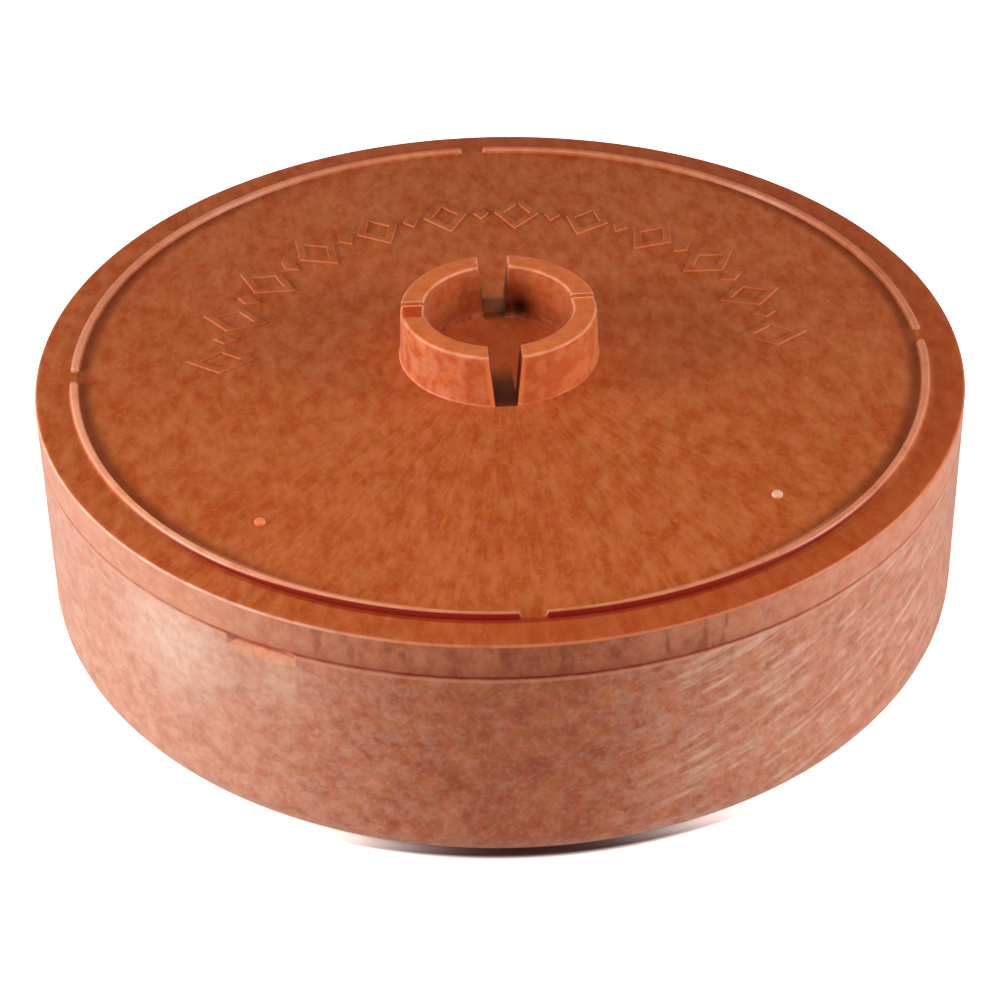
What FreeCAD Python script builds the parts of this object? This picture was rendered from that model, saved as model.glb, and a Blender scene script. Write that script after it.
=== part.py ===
import FreeCAD, Part

import os
import re

from FreeCAD import Placement, Rotation, Vector
import Sketcher

# A round two-piece tortilla warmer: a low tub and a lift-off lid with a split grip ring.
# Millimetres, +Z up. The origin is the centre of the foot, on the surface the tub stands on.
# -Y is the front: one of the grip ring's two open slots faces it, and the other faces the back.

SIZES = {
    # tub: an upright wall on a rounded corner, a flat floor and a narrow foot ring
    "outer_radius": 117.5,
    "tub_height": 56.7,
    "tub_wall": 4.2,
    "tub_draft": 0.6,
    "tub_floor": 3.6,
    "tub_corner": 10.4,
    "tub_inner_corner": 7.0,
    "foot_width": 6.0,
    "foot_recess": 1.2,
    "rim_round": 0.7,
    # shallow notch under the seam, for a fingertip
    "pry_width": 21.0,
    "pry_height": 4.4,
    "pry_depth": 1.6,
    "pry_bearing": 238.0,
    # lid plate and band
    "band_height": 9.6,
    "band_wall": 3.0,
    "lid_plate": 3.0,
    "crown_rise": 2.2,
    "lid_round": 1.2,
    "seam_round": 0.4,
    # ring inside the lid that centres it in the tub
    "locating_gap": 0.4,
    "locating_wall": 2.2,
    "locating_depth": 6.0,
    # bead near the rim, broken by four gaps
    "bead_radius": 107.6,
    "bead_foot": 2.6,
    "bead_top": 1.2,
    "bead_height": 1.2,
    "bead_gap": 5.7,
    # grip ring, with its heights above the rim's top
    "grip_height": 16.0,
    "grip_outer_top": 24.7,
    "grip_outer_foot": 25.2,
    "grip_inner_top": 19.0,
    "grip_inner_foot": 18.3,
    "grip_floor": 0.9,
    "grip_round": 0.6,
    "slot_top": 7.9,
    "slot_foot": 5.3,
    "slot_floor": 2.6,
    "notch_width": 7.2,
    "notch_depth": 1.4,
    # raised lozenges on an arc behind the grip, with a small diamond between each two
    "relief": 0.5,
    "lozenge_circle": 70.7,
    "lozenge_length": 17.4,
    "lozenge_width": 12.0,
    "lozenge_open": 0.6,
    "lozenge_count": 12,
    "lozenge_span": 175.0,
    "diamond_length": 6.4,
    "diamond_width": 4.2,
    # two small round pips in front of the grip
    "pip_radius": 1.35,
    "pip_height": 0.8,
    "pip_circle": 90.8,
    "pip_bearing": 42.4,
}

# Levels and radii that several features share, as expressions on the names above.
RIM_TOP = "(tub_height + band_height)"
GRIP_TOP = f"({RIM_TOP} + grip_height)"
GRIP_FLOOR = f"({RIM_TOP} + grip_floor)"
TUB_INSIDE = "(outer_radius - tub_wall)"
BAND_INSIDE = "(outer_radius - band_wall)"
LOCATING_OUTSIDE = f"({TUB_INSIDE} - locating_gap)"
LOCATING_INSIDE = f"({LOCATING_OUTSIDE} - locating_wall)"
DISH_RADIUS = "(grip_inner_top + lid_plate)"
DISH_EDGE = f"({DISH_RADIUS} + lid_plate)"

NEAR = 0.01  # two sizes closer than this count as the same
LEAST_CHANGE = 0.5  # cubic millimetres that every feature adds or removes, at the least


def crown(radius):
    """Height of the lid's top at a radius: a shallow dome that ends on the rim."""
    return f"({RIM_TOP} + crown_rise * (1 - (({radius}) / outer_radius) ^ 2))"


doc = FreeCAD.newDocument("TortillaWarmer")
sheet = doc.addObject("Spreadsheet::Sheet", "sizes")
for row, (alias, number) in enumerate(SIZES.items(), start=1):
    sheet.set(f"A{row}", alias)
    sheet.set(f"B{row}", str(number))
    sheet.setAlias(f"B{row}", alias)
doc.recompute()


def bound(expression):
    """The expression with each driving name pointed at the sheet of sizes."""
    def pointed(word):
        return f"sizes.{word[0]}" if word[0] in SIZES else word[0]
    return re.sub(r"[a-z]+(?:_[a-z]+)*", pointed, expression)


def value(expression):
    """The number that an expression gives now."""
    return float(sheet.evalExpression(bound(expression)))


def origin_plane(body, role):
    """One of the body's own origin planes."""
    return next(item for item in body.Origin.OriginFeatures if item.Role == role)


def new_body(label):
    """An empty body whose label is its node's name."""
    body = doc.addObject("PartDesign::Body", label)
    body.Label = label
    return body


def sketch_on(body, name, role, lift="0", turn="0", turn_axis=Vector(0, 0, 1)):
    """A sketch on an origin plane, lifted along its normal and turned about one of its own axes."""
    sketch = body.newObject("Sketcher::SketchObject", name)
    sketch.AttachmentSupport = [(origin_plane(body, role), "")]
    sketch.MapMode = "FlatFace"
    sketch.AttachmentOffset = Placement(Vector(0, 0, value(lift)), Rotation(turn_axis, value(turn)))
    if lift != "0":
        sketch.setExpression(".AttachmentOffset.Base.z", bound(lift))
    if turn != "0":
        sketch.setExpression(".AttachmentOffset.Rotation.Angle", bound(turn))
    return sketch


def pin(sketch, geometry, end, across, along):
    """Hold one point of a sketch at two expressions, measured from the sketch's origin."""
    for kind, expression, axis in (("DistanceX", across, -2), ("DistanceY", along, -1)):
        if expression == "0":
            sketch.addConstraint(Sketcher.Constraint("PointOnObject", geometry, end, axis))
            continue
        distance = Sketcher.Constraint(kind, -1, 1, geometry, end, value(expression))
        sketch.setExpression(f"Constraints[{sketch.addConstraint(distance)}]", bound(expression))


def outline(sketch, corners, outward=(), inward=()):
    """A closed outline through corners given as pairs of expressions.

    The side that starts at a corner in outward or inward is an arc about the vertical axis, like
    the lid's dome, and runs away from that axis or towards it. Every other side is straight.
    """
    first = sketch.GeometryCount
    places = [Vector(value(across), value(along), 0) for across, along in corners]
    heads, tails = [], []
    for i, start in enumerate(places):
        stop = places[(i + 1) % len(places)]
        if i in outward or i in inward:
            difference = start.x ** 2 + start.y ** 2 - stop.x ** 2 - stop.y ** 2
            centre = Vector(0, difference / (2 * (start.y - stop.y)), 0)
            low, high = (stop, start) if i in outward else (start, stop)
            circle = Part.Circle(centre, Vector(0, 0, 1), start.distanceToPoint(centre))
            side = Part.ArcOfCircle(circle, circle.parameter(low), circle.parameter(high))
        else:
            side = Part.LineSegment(start, stop)
        sketch.addGeometry(side, False)
        heads.append(2 if i in outward else 1)
        tails.append(1 if i in outward else 2)
    for i, (across, along) in enumerate(corners):
        before = (i - 1) % len(corners)
        sketch.addConstraint(
            Sketcher.Constraint("Coincident", first + before, tails[before], first + i, heads[i]))
        pin(sketch, first + i, heads[i], across, along)
        if i in outward or i in inward:
            sketch.addConstraint(Sketcher.Constraint("PointOnObject", first + i, 3, -2))
    return sketch


def feature(body, kind, name, sketch, **settings):
    """Add a feature made from a sketch, and stop if it leaves the volume unchanged."""
    doc.recompute()
    before = body.Shape.Volume if body.Tip else 0.0
    item = body.newObject(f"PartDesign::{kind}", name)
    item.Profile = sketch
    for key, setting in settings.items():
        if isinstance(setting, str) and key in ("Length", "Angle"):
            item.setExpression(key, bound(setting))
        else:
            setattr(item, key, setting)
    doc.recompute()
    if abs(body.Shape.Volume - before) < LEAST_CHANGE:
        raise RuntimeError(f"{name} changes nothing")
    return item


def turned(body, kind, name, corners, angle="360", bearing="0", outward=(), inward=()):
    """Turn an outline about the vertical axis, to both sides of a bearing if it isn't a full turn."""
    sketch = sketch_on(body, f"{name}_outline", "XZ_Plane", turn=bearing, turn_axis=Vector(0, 1, 0))
    outline(sketch, corners, outward, inward)
    return feature(body, kind, name, sketch, ReferenceAxis=(sketch, ["V_Axis"]), Angle=angle, Midplane=True)


def cut_across(body, name, role, corners, length, bearing="0"):
    """Cut an outline through the body, equally far to both sides of its plane."""
    sketch = sketch_on(body, f"{name}_outline", role, turn=bearing, turn_axis=Vector(0, 1, 0))
    outline(sketch, corners)
    return feature(body, "Pocket", name, sketch, Type=0, Length=length, Midplane=True)


def repeated(body, name, originals, count, angle):
    """Copies of some features, evenly spread about the vertical axis over an angle."""
    pattern = body.newObject("PartDesign::PolarPattern", name)
    pattern.Originals = originals
    pattern.Axis = (next(item for item in body.Origin.OriginFeatures if item.Role == "Z_Axis"), [""])
    pattern.setExpression("Angle", bound(angle))
    pattern.setExpression("Occurrences", bound(count))
    body.Tip = pattern
    doc.recompute()
    return pattern


def rings(body, radius, height):
    """Names of the circular edges about the vertical axis at a radius and a height."""
    wanted = Vector(0, 0, value(height))
    names = []
    for number, edge in enumerate(body.Shape.Edges, start=1):
        curve = None if edge.Degenerated else edge.Curve
        if not isinstance(curve, Part.Circle) or abs(curve.Axis.z) < 1 - NEAR:
            continue
        if curve.Center.distanceToPoint(wanted) < NEAR and abs(curve.Radius - value(radius)) < NEAR:
            names.append(f"Edge{number}")
    if not names:
        raise RuntimeError(f"{body.Label} has no edge of radius {radius} at {height}")
    return names


def rounded(body, name, edges, radius):
    """Round named edges of the body's last feature."""
    last = body.Tip
    item = body.newObject("PartDesign::Fillet", name)
    item.Base = (last, edges)
    item.setExpression("Radius", bound(radius))
    doc.recompute()
    return item


# The tub is one moulding. Its wall leans in a little towards the floor on the inside, for draft.
tub = new_body("base_tub")
turned(tub, "Revolution", "tub_shell", [
    ("0", "foot_recess"),
    ("outer_radius - tub_corner - foot_width", "foot_recess"),
    ("outer_radius - tub_corner - foot_width + foot_recess", "0"),
    ("outer_radius", "0"),
    ("outer_radius", "tub_height"),
    (TUB_INSIDE, "tub_height"),
    (f"{TUB_INSIDE} - tub_draft", "tub_floor"),
    ("0", "tub_floor"),
])
rounded(tub, "tub_corner_round", rings(tub, "outer_radius", "0"), "tub_corner")
rounded(tub, "tub_inside_round", rings(tub, f"{TUB_INSIDE} - tub_draft", "tub_floor"), "tub_inner_corner")
rounded(tub, "tub_rim_round",
        rings(tub, "outer_radius", "tub_height") + rings(tub, TUB_INSIDE, "tub_height"), "rim_round")

# The pry notch is a wedge cut into the wall's outside: deepest under the lid, it runs out below.
cut_across(tub, "pry_notch", "XZ_Plane", [
    ("outer_radius - pry_depth", "tub_height + rim_round"),
    ("outer_radius - pry_depth", "tub_height - rim_round"),
    ("outer_radius", "tub_height - pry_height"),
    ("outer_radius + rim_round", "tub_height - pry_height"),
    ("outer_radius + rim_round", "tub_height + rim_round"),
], length="pry_width", bearing="pry_bearing")

# The lid is one moulding too: a domed plate with a band that stands on the tub's rim, and inside
# the band a thin ring that drops into the tub. Under the grip the plate dips to keep its thickness.
lid = new_body("lid")
turned(lid, "Revolution", "lid_shell", [
    ("0", crown("0")),
    ("outer_radius", RIM_TOP),
    ("outer_radius", "tub_height"),
    (BAND_INSIDE, "tub_height"),
    (BAND_INSIDE, f"{crown(BAND_INSIDE)} - lid_plate"),
    (LOCATING_OUTSIDE, f"{crown(LOCATING_OUTSIDE)} - lid_plate"),
    (LOCATING_OUTSIDE, "tub_height - locating_depth"),
    (LOCATING_INSIDE, "tub_height - locating_depth"),
    (LOCATING_INSIDE, f"{crown(LOCATING_INSIDE)} - lid_plate"),
    (DISH_EDGE, f"{crown(DISH_EDGE)} - lid_plate"),
    (DISH_RADIUS, f"{GRIP_FLOOR} - lid_plate"),
    ("0", f"{GRIP_FLOOR} - lid_plate"),
], outward=(0,), inward=(8,))
rounded(lid, "lid_edge_round", rings(lid, "outer_radius", RIM_TOP), "lid_round")
rounded(lid, "lid_seam_round", rings(lid, "outer_radius", "tub_height"), "seam_round")

# The grip is a hollow ring. Its bore ends on a floor that is lower than the dome round it.
grip_inner_rough = "(grip_inner_foot - grip_round)"
turned(lid, "Revolution", "grip_ring", [
    (grip_inner_rough, f"{crown(grip_inner_rough)} - relief"),
    ("grip_outer_foot", f"{crown('grip_outer_foot')} - relief"),
    ("grip_outer_top", GRIP_TOP),
    (grip_inner_rough, GRIP_TOP),
])
turned(lid, "Groove", "grip_bore", [
    ("0", GRIP_FLOOR),
    ("grip_inner_foot", GRIP_FLOOR),
    ("grip_inner_top", GRIP_TOP),
    ("grip_inner_top", f"{GRIP_TOP} + grip_round"),
    ("0", f"{GRIP_TOP} + grip_round"),
])
rounded(lid, "grip_edge_round",
        rings(lid, "grip_outer_top", GRIP_TOP) + rings(lid, "grip_inner_top", GRIP_TOP), "grip_round")

# Two tapered slots open the ring to the front and back, and two shallow notches cross its top.
cut_across(lid, "grip_slots", "XZ_Plane", [
    ("-slot_foot / 2", f"{RIM_TOP} + slot_floor"),
    ("slot_foot / 2", f"{RIM_TOP} + slot_floor"),
    ("slot_top / 2", GRIP_TOP),
    ("slot_top / 2", f"{GRIP_TOP} + grip_round"),
    ("-slot_top / 2", f"{GRIP_TOP} + grip_round"),
    ("-slot_top / 2", GRIP_TOP),
], length="2 * grip_outer_foot")
cut_across(lid, "grip_notches", "YZ_Plane", [
    ("-notch_width / 2", f"{GRIP_TOP} - notch_depth"),
    ("notch_width / 2", f"{GRIP_TOP} - notch_depth"),
    ("notch_width / 2", f"{GRIP_TOP} + grip_round"),
    ("-notch_width / 2", f"{GRIP_TOP} + grip_round"),
], length="2 * grip_outer_foot")

# The bead near the rim is four equal arcs with a gap at the front, back, left and right.
bead_inner = "(bead_radius - bead_foot / 2)"
bead_outer = "(bead_radius + bead_foot / 2)"
bead_level = crown("bead_radius")
bead_arc = turned(lid, "Revolution", "bead_arc", [
    (bead_inner, f"{bead_level} - relief"),
    (bead_outer, f"{bead_level} - relief"),
    ("bead_radius + bead_top / 2", f"{bead_level} + bead_height"),
    ("bead_radius - bead_top / 2", f"{bead_level} + bead_height"),
], angle="90 - bead_gap / bead_radius * 180 / pi", bearing="45")
repeated(lid, "bead", [bead_arc], "4", "360")

# Lozenges and diamonds start inside the plate and are trimmed to one height above the dome.
first_bearing = "90 - lozenge_span / 2"
lozenge = sketch_on(lid, "lozenge_outline", "XY_Plane", lift=f"{RIM_TOP} + relief", turn=first_bearing)
for share in ("1", "lozenge_open"):
    outline(lozenge, [
        (f"lozenge_circle - lozenge_length / 2 * {share}", "0"),
        ("lozenge_circle", f"lozenge_width / 2 * {share}"),
        (f"lozenge_circle + lozenge_length / 2 * {share}", "0"),
        ("lozenge_circle", f"-lozenge_width / 2 * {share}"),
    ])
lozenge_pad = feature(lid, "Pad", "lozenge", lozenge, Length="crown_rise + relief")
repeated(lid, "lozenges", [lozenge_pad], "lozenge_count", "lozenge_span")

half_step = "lozenge_span / (lozenge_count - 1) / 2"
diamond = sketch_on(lid, "diamond_outline", "XY_Plane", lift=f"{RIM_TOP} + relief",
                    turn=f"{first_bearing} + {half_step}")
outline(diamond, [
    ("lozenge_circle - diamond_length / 2", "0"),
    ("lozenge_circle", "diamond_width / 2"),
    ("lozenge_circle + diamond_length / 2", "0"),
    ("lozenge_circle", "-diamond_width / 2"),
])
diamond_pad = feature(lid, "Pad", "diamond", diamond, Length="crown_rise + relief")
repeated(lid, "diamonds", [diamond_pad], "lozenge_count - 1", f"lozenge_span - 2 * {half_step}")
trim_inner = "(lozenge_circle - lozenge_length)"
trim_outer = "(lozenge_circle + lozenge_length)"
turned(lid, "Groove", "relief_trim", [
    (trim_inner, f"{crown(trim_inner)} + relief"),
    (trim_outer, f"{crown(trim_outer)} + relief"),
    (trim_outer, GRIP_TOP),
    (trim_inner, GRIP_TOP),
], outward=(0,))

# Two round pips stand in front of the grip, one each side of the front gap.
pips = sketch_on(lid, "pip_outline", "XY_Plane", lift=f"{crown('pip_circle')} - relief")
for side in ("", "-"):
    place = (f"{side}pip_circle * sin(pip_bearing * 1 deg)", "-pip_circle * cos(pip_bearing * 1 deg)")
    centre = Vector(value(place[0]), value(place[1]), 0)
    ring = pips.addGeometry(Part.Circle(centre, Vector(0, 0, 1), value("pip_radius")), False)
    radius = pips.addConstraint(Sketcher.Constraint("Radius", ring, value("pip_radius")))
    pips.setExpression(f"Constraints[{radius}]", bound("pip_radius"))
    pin(pips, ring, 3, *place)
feature(lid, "Pad", "pips", pips, Length="relief + pip_height")

doc.recompute()
for item in doc.Objects:
    if {"Invalid", "Error"} & set(item.State):
        raise RuntimeError(f"{item.Label} failed: {item.State}")
PARTS = (tub, lid)
for part in PARTS:
    if part.Shape.isNull() or not part.Shape.isValid() or len(part.Shape.Solids) != 1:
        raise RuntimeError(f"{part.Label} is not one valid solid")

os.makedirs("parts", exist_ok=True)
for part in PARTS:
    part.Shape.exportStep(f"parts/{part.Label}.step")
    box = part.Shape.optimalBoundingBox(False)
    print(f"{part.Label}: {part.Shape.Volume / 1000:.1f} cm3, "
          f"{box.XLength:.1f} x {box.YLength:.1f} mm, z {box.ZMin:.1f} to {box.ZMax:.1f}")
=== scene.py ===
import math

import bmesh
import bpy
from mathutils import Matrix, Vector


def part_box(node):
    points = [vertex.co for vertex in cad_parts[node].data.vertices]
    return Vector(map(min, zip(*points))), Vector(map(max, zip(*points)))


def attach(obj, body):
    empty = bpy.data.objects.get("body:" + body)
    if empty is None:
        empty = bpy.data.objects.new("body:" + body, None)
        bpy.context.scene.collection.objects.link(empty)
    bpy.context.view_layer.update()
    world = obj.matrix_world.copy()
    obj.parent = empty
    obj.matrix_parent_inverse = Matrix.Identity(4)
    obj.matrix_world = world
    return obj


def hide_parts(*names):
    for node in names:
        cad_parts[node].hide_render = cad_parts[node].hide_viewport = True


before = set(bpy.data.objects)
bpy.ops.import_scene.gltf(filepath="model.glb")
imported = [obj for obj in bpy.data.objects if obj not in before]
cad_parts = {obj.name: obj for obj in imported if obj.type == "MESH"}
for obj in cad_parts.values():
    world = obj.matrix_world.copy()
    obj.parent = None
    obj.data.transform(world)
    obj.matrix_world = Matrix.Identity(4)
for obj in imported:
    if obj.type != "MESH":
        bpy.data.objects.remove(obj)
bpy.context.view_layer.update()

# ---------------------------------------------------------------------------------------------
# The tub. One injection moulding in terracotta polypropylene filled with short pale fibres: an
# upright wall that curves under into a flat bottom, which stands on a narrow foot ring. Under the
# rim a shallow notch lets a fingertip in below the lid.
# ---------------------------------------------------------------------------------------------
MM = 0.001
FULL_TURN = 2 * math.pi
TUB_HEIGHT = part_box("base_tub")[1].z
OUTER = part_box("base_tub")[1].x
TUB_WALL = 4.2 * MM
TUB_DRAFT = 0.6 * MM
TUB_FLOOR = 3.6 * MM
TUB_CORNER = 10.4 * MM
TUB_INNER_CORNER = 7.0 * MM
FOOT_WIDTH = 6.0 * MM
FOOT_RECESS = 1.2 * MM
RIM_ROUND = 0.7 * MM
LATHE_SIDES = 300


class Wire:
    """A node socket. Arithmetic on it adds Math nodes, and its methods add the other nodes."""

    def __init__(self, tree, socket=None):
        self.tree = tree
        self.socket = socket

    def node(self, kind, inputs=None, output=0, **settings):
        """Add a node: first its settings, then the values or wires of its sockets."""
        made = self.tree.nodes.new(kind)
        for name, setting in settings.items():
            setattr(made, name, setting)
        for key, given in (inputs or {}).items():
            if isinstance(given, Wire):
                self.tree.links.new(given.socket, made.inputs[key])
            else:
                made.inputs[key].default_value = given
        return Wire(self.tree, made.outputs[output] if made.outputs else None)

    def also(self, output):
        """Another output of the node that this wire comes from."""
        return Wire(self.tree, self.socket.node.outputs[output])

    def math(self, operation, *values):
        return self.node("ShaderNodeMath", dict(enumerate(values)), operation=operation)

    def vector(self, operation, *values, output="Vector"):
        return self.node("ShaderNodeVectorMath", dict(enumerate(values)), output, operation=operation)

    def __add__(self, other):
        return self.math("ADD", self, other)

    def __sub__(self, other):
        return self.math("SUBTRACT", self, other)

    def __rsub__(self, other):
        return self.math("SUBTRACT", other, self)

    def __mul__(self, other):
        return self.math("MULTIPLY", self, other)

    def __truediv__(self, other):
        return self.math("DIVIDE", self, other)

    def __rtruediv__(self, other):
        return self.math("DIVIDE", other, self)

    def __abs__(self):
        return self.math("ABSOLUTE", self)

    __radd__ = __add__
    __rmul__ = __mul__

    def larger(self, other):
        """The larger of this number and another."""
        return self.math("MAXIMUM", self, other)

    def ramp(self, start, stop):
        """0 up to start and 1 from stop on, with a smooth rise between them; start may be above stop."""
        levels = {"Value": self, "From Min": start, "From Max": stop}
        return self.node("ShaderNodeMapRange", levels, interpolation_type="SMOOTHSTEP")

    def between(self, colour, other):
        """The colour where this wire is 0, and the other where it is 1."""
        return self.node("ShaderNodeMix", {0: self, 6: colour, 7: other}, 2, data_type="RGBA")

    def apart(self):
        """A vector's three numbers."""
        split = self.node("ShaderNodeSeparateXYZ", {0: self})
        return split, split.also("Y"), split.also("Z")

    def joined(self, x, y, z):
        return self.node("ShaderNodeCombineXYZ", {"X": x, "Y": y, "Z": z})

    def noise(self, scale, detail=3.0, roughness=0.55):
        """Even noise from 0 to 1 at this vector, with features 1/scale across."""
        settings = {"Vector": self, "Scale": scale, "Detail": detail, "Roughness": roughness}
        return self.node("ShaderNodeTexNoise", settings)


def paint(red, green, blue):
    """A colour of 0 to 255 per channel as the renderer's linear colour."""
    channels = [level / 255 for level in (red, green, blue)]
    return [c / 12.92 if c <= 0.04045 else ((c + 0.055) / 1.055) ** 2.4 for c in channels] + [1.0]


def fibres(place, facing, spacing, width, length, seed):
    """A mask of short fibres that lie in the surface: one in each cell, each pointing its own way."""
    moved = place.vector("ADD", place, (seed, 2 * seed, 3 * seed))
    centre = moved.node("ShaderNodeTexVoronoi", {"Vector": moved, "Scale": 1 / spacing}, "Position")
    toss = centre.also("Color").vector("SUBTRACT", centre.also("Color"), (0.5, 0.5, 0.5))
    heading = place.vector("NORMALIZE", place.vector("CROSS_PRODUCT", facing, toss))
    sideways = place.vector("CROSS_PRODUCT", facing, heading)
    away = place.vector("SUBTRACT", moved, centre)
    along = abs(place.vector("DOT_PRODUCT", away, heading, output="Value"))
    across = abs(place.vector("DOT_PRODUCT", away, sideways, output="Value"))
    return across.ramp(width, 0.0) * along.ramp(length, length * 0.3)


def climbing_streaks(place, lean, width, rise):
    """Noise drawn out along lines that climb round the axis: lean is how far they go round per rise."""
    height = place.apart()[2]
    straight = place.node("ShaderNodeVectorRotate", {"Vector": place, "Angle": height * (-lean / OUTER)},
                          rotation_type="Z_AXIS")
    return place.vector("MULTIPLY", straight, (1 / width, 1 / width, 1 / rise)).noise(1.0, detail=2.0)


def on_table(place):
    """A place moved straight down to height 0."""
    x, y = place.apart()[:2]
    return place.joined(x, y, 0.0)


def from_axis(place):
    """How far a place lies from the vertical axis."""
    return place.vector("LENGTH", on_table(place), output="Value")


def near(place, bearing, height, reach, radius=OUTER):
    """1 close to a spot given by its bearing in degrees, height and radius, and 0 from its reach on."""
    turn = math.radians(bearing)
    spot = (radius * math.cos(turn), radius * math.sin(turn), height)
    return place.vector("DISTANCE", place, spot, output="Value").ramp(reach, reach * 0.1)


DRAWN = (1.0, 0.5, 1.0)
GRAIN_SCALE = 900.0
FIBRE_WIDTH = 0.60 * MM
WALL_DARK = paint(164, 70, 30)
WALL_PALE = paint(200, 112, 64)
WALL_RED = paint(204, 98, 72)
WALL_BROWN = paint(176, 98, 42)
TUFT_AND_SHEEN_PINK = paint(224, 170, 144)
FIBRE_PINK = paint(232, 172, 144)
GRAIN_DARK = paint(156, 72, 38)
GRAIN_PINK = paint(232, 132, 100)


def wall_finish(place, facing):
    """Colour and relief of an upright wall: softly mottled, with pale fibres lying in all directions.

    The left and the right are painted paler, a painted sheen of the side lamps, and the pale fibres and
    grain show more there. Each noise is read at a place of its own, so that no two of them show the same
    blotches.
    """
    drawn = place.vector("MULTIPLY", place, DRAWN)
    clouds = drawn.noise(200.0, detail=4.0, roughness=0.6).ramp(0.28, 0.72)
    tint = place.vector("ADD", drawn, (0.7, 0.2, 0.4)).noise(260.0, detail=3.0)
    tufts = place.vector("ADD", drawn, (0.2, 0.6, 0.9))
    tufts = tufts.noise(290.0, detail=4.0, roughness=0.65).ramp(0.3, 0.7)
    grain = place.noise(GRAIN_SCALE, detail=2.0)
    leftward = place.apart()[0] / -OUTER
    # Painted sheen: the wall is painted paler towards the left and, less, towards the right, where the
    # side lamps shine.
    side_sheen = leftward.ramp(0.0, 0.85) * 0.66 + 0.38 * leftward.ramp(0.05, -0.5)
    short = fibres(place, facing, spacing=2.6 * MM, width=FIBRE_WIDTH, length=1.6 * MM, seed=0.31)
    colour = clouds.between(WALL_DARK, WALL_PALE)
    colour = (tint.ramp(0.5, 0.7) * 0.6).between(colour, WALL_RED)
    colour = (tint.ramp(0.5, 0.3) * 0.6).between(colour, WALL_BROWN)
    colour = (side_sheen + (0.4 + 0.15 * side_sheen) * (tufts - 0.5)).between(colour, TUFT_AND_SHEEN_PINK)
    ruddy = side_sheen.between(GRAIN_DARK, GRAIN_PINK)
    colour = (grain.ramp(0.45, 0.7) * 0.28).between(colour, ruddy)
    colour = (short * (0.12 + 0.1 * side_sheen)).between(colour, FIBRE_PINK)
    return colour, short * 0.3 + grain * 0.7


WALL_GLOSS = {"Specular IOR Level": 0.3, "Sheen Weight": 0.25, "Sheen Roughness": 0.35,
              "Sheen Tint": paint(255, 236, 224)}
TOP_GLOSS = {"Specular IOR Level": 0.05}
PLASTIC_IOR = 1.49
GRAIN_DEPTH = 0.1 * MM


def plastic(name, finish, roughness=0.48):
    """A material of the filled plastic. Its finish tells colour, relief and dullness of each place.

    Upright faces took a sheen from the polished side of the mould; faces that look up stayed matt,
    and so did the dull spots: cuts and the places of painted shade.
    """
    material = bpy.data.materials.new(name)
    material.use_nodes = True
    tree = material.node_tree
    tree.nodes.clear()
    place = Wire(tree).node("ShaderNodeTexCoord", output="Object")
    facing = place.also("Normal")
    colour, relief, dull = finish(place, facing)
    bump = relief.node("ShaderNodeBump", {"Strength": 0.3, "Distance": GRAIN_DEPTH, "Height": relief})
    upright, level = [colour.node("ShaderNodeBsdfPrincipled", {
        "Base Color": colour, "Roughness": roughness, "Normal": bump, "IOR": PLASTIC_IOR, **gloss,
    }) for gloss in (WALL_GLOSS, TOP_GLOSS)]
    matt = dull.larger(facing.apart()[2].ramp(0.55, 0.97))
    surface = matt.node("ShaderNodeMixShader", {0: matt, 1: upright, 2: level})
    surface.node("ShaderNodeOutputMaterial", {"Surface": surface})
    return material


def rounded_outline(corners, arc_steps=7, pitch=5 * MM, shoulder=0.35 * MM):
    """Points of (radius, height) along straight runs between corners of (radius, height, rounding).

    Each rounding is an arc, with a point close outside both its ends that keeps the run beside it flat.
    """
    spots = [Vector(corner[:2]) for corner in corners]
    arcs = []
    for i, (spot, rounding) in enumerate(zip(spots, (corner[2] for corner in corners))):
        if not rounding:
            arcs.append([spot])
            continue
        back = (spots[i - 1] - spot).normalized()
        ahead = (spots[(i + 1) % len(spots)] - spot).normalized()
        half = back.angle(ahead) / 2
        centre = spot + (back + ahead).normalized() * rounding / math.sin(half)
        first = spot + back * rounding / math.tan(half) - centre
        side = first.x * (spot - centre).y - first.y * (spot - centre).x
        turn = math.copysign(math.pi - 2 * half, side)
        steps = range(arc_steps + 1)
        arcs.append([centre + Matrix.Rotation(turn * s / arc_steps, 2) @ first for s in steps])
    points = []
    for i, arc in enumerate(arcs):
        points += arc
        if i + 1 == len(arcs):
            break
        start, stop = arc[-1], arcs[i + 1][0]
        reach = (stop - start).length
        cuts = max(1, round(reach / pitch))
        shares = {s / cuts for s in range(1, cuts)}
        if len(arc) > 1 and reach > 3 * shoulder:
            shares.add(shoulder / reach)
        if len(arcs[i + 1]) > 1 and reach > 3 * shoulder:
            shares.add(1 - shoulder / reach)
        points += [start.lerp(stop, share) for share in sorted(shares)]
    return points


def tree_with_inputs(name, **kinds):
    """An empty geometry tree: the wire of its own geometry, and one wire for each named input."""
    tree = bpy.data.node_groups.new(name, "GeometryNodeTree")
    tree.interface.new_socket("Geometry", in_out="INPUT", socket_type="NodeSocketGeometry")
    for label, kind in kinds.items():
        tree.interface.new_socket(label, in_out="INPUT", socket_type=f"NodeSocket{kind}")
    tree.interface.new_socket("Geometry", in_out="OUTPUT", socket_type="NodeSocketGeometry")
    start = Wire(tree).node("NodeGroupInput", output="Geometry")
    return start, {label: start.also(label) for label in kinds}


def end_tree(mesh, material):
    """Make one real mesh of what comes in, give it its material and hand it out of the tree."""
    real = mesh.node("GeometryNodeRealizeInstances", {0: mesh})
    smooth = real.node("GeometryNodeSetShadeSmooth", {0: real})
    dressed = smooth.node("GeometryNodeSetMaterial", {0: smooth, "Material": material})
    dressed.node("NodeGroupOutput", {0: dressed})
    return mesh.tree


def linked(name, data):
    """A new object in the scene that shows a mesh, a light or a camera."""
    made = bpy.data.objects.new(name, data)
    bpy.context.scene.collection.objects.link(made)
    return made


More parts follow.
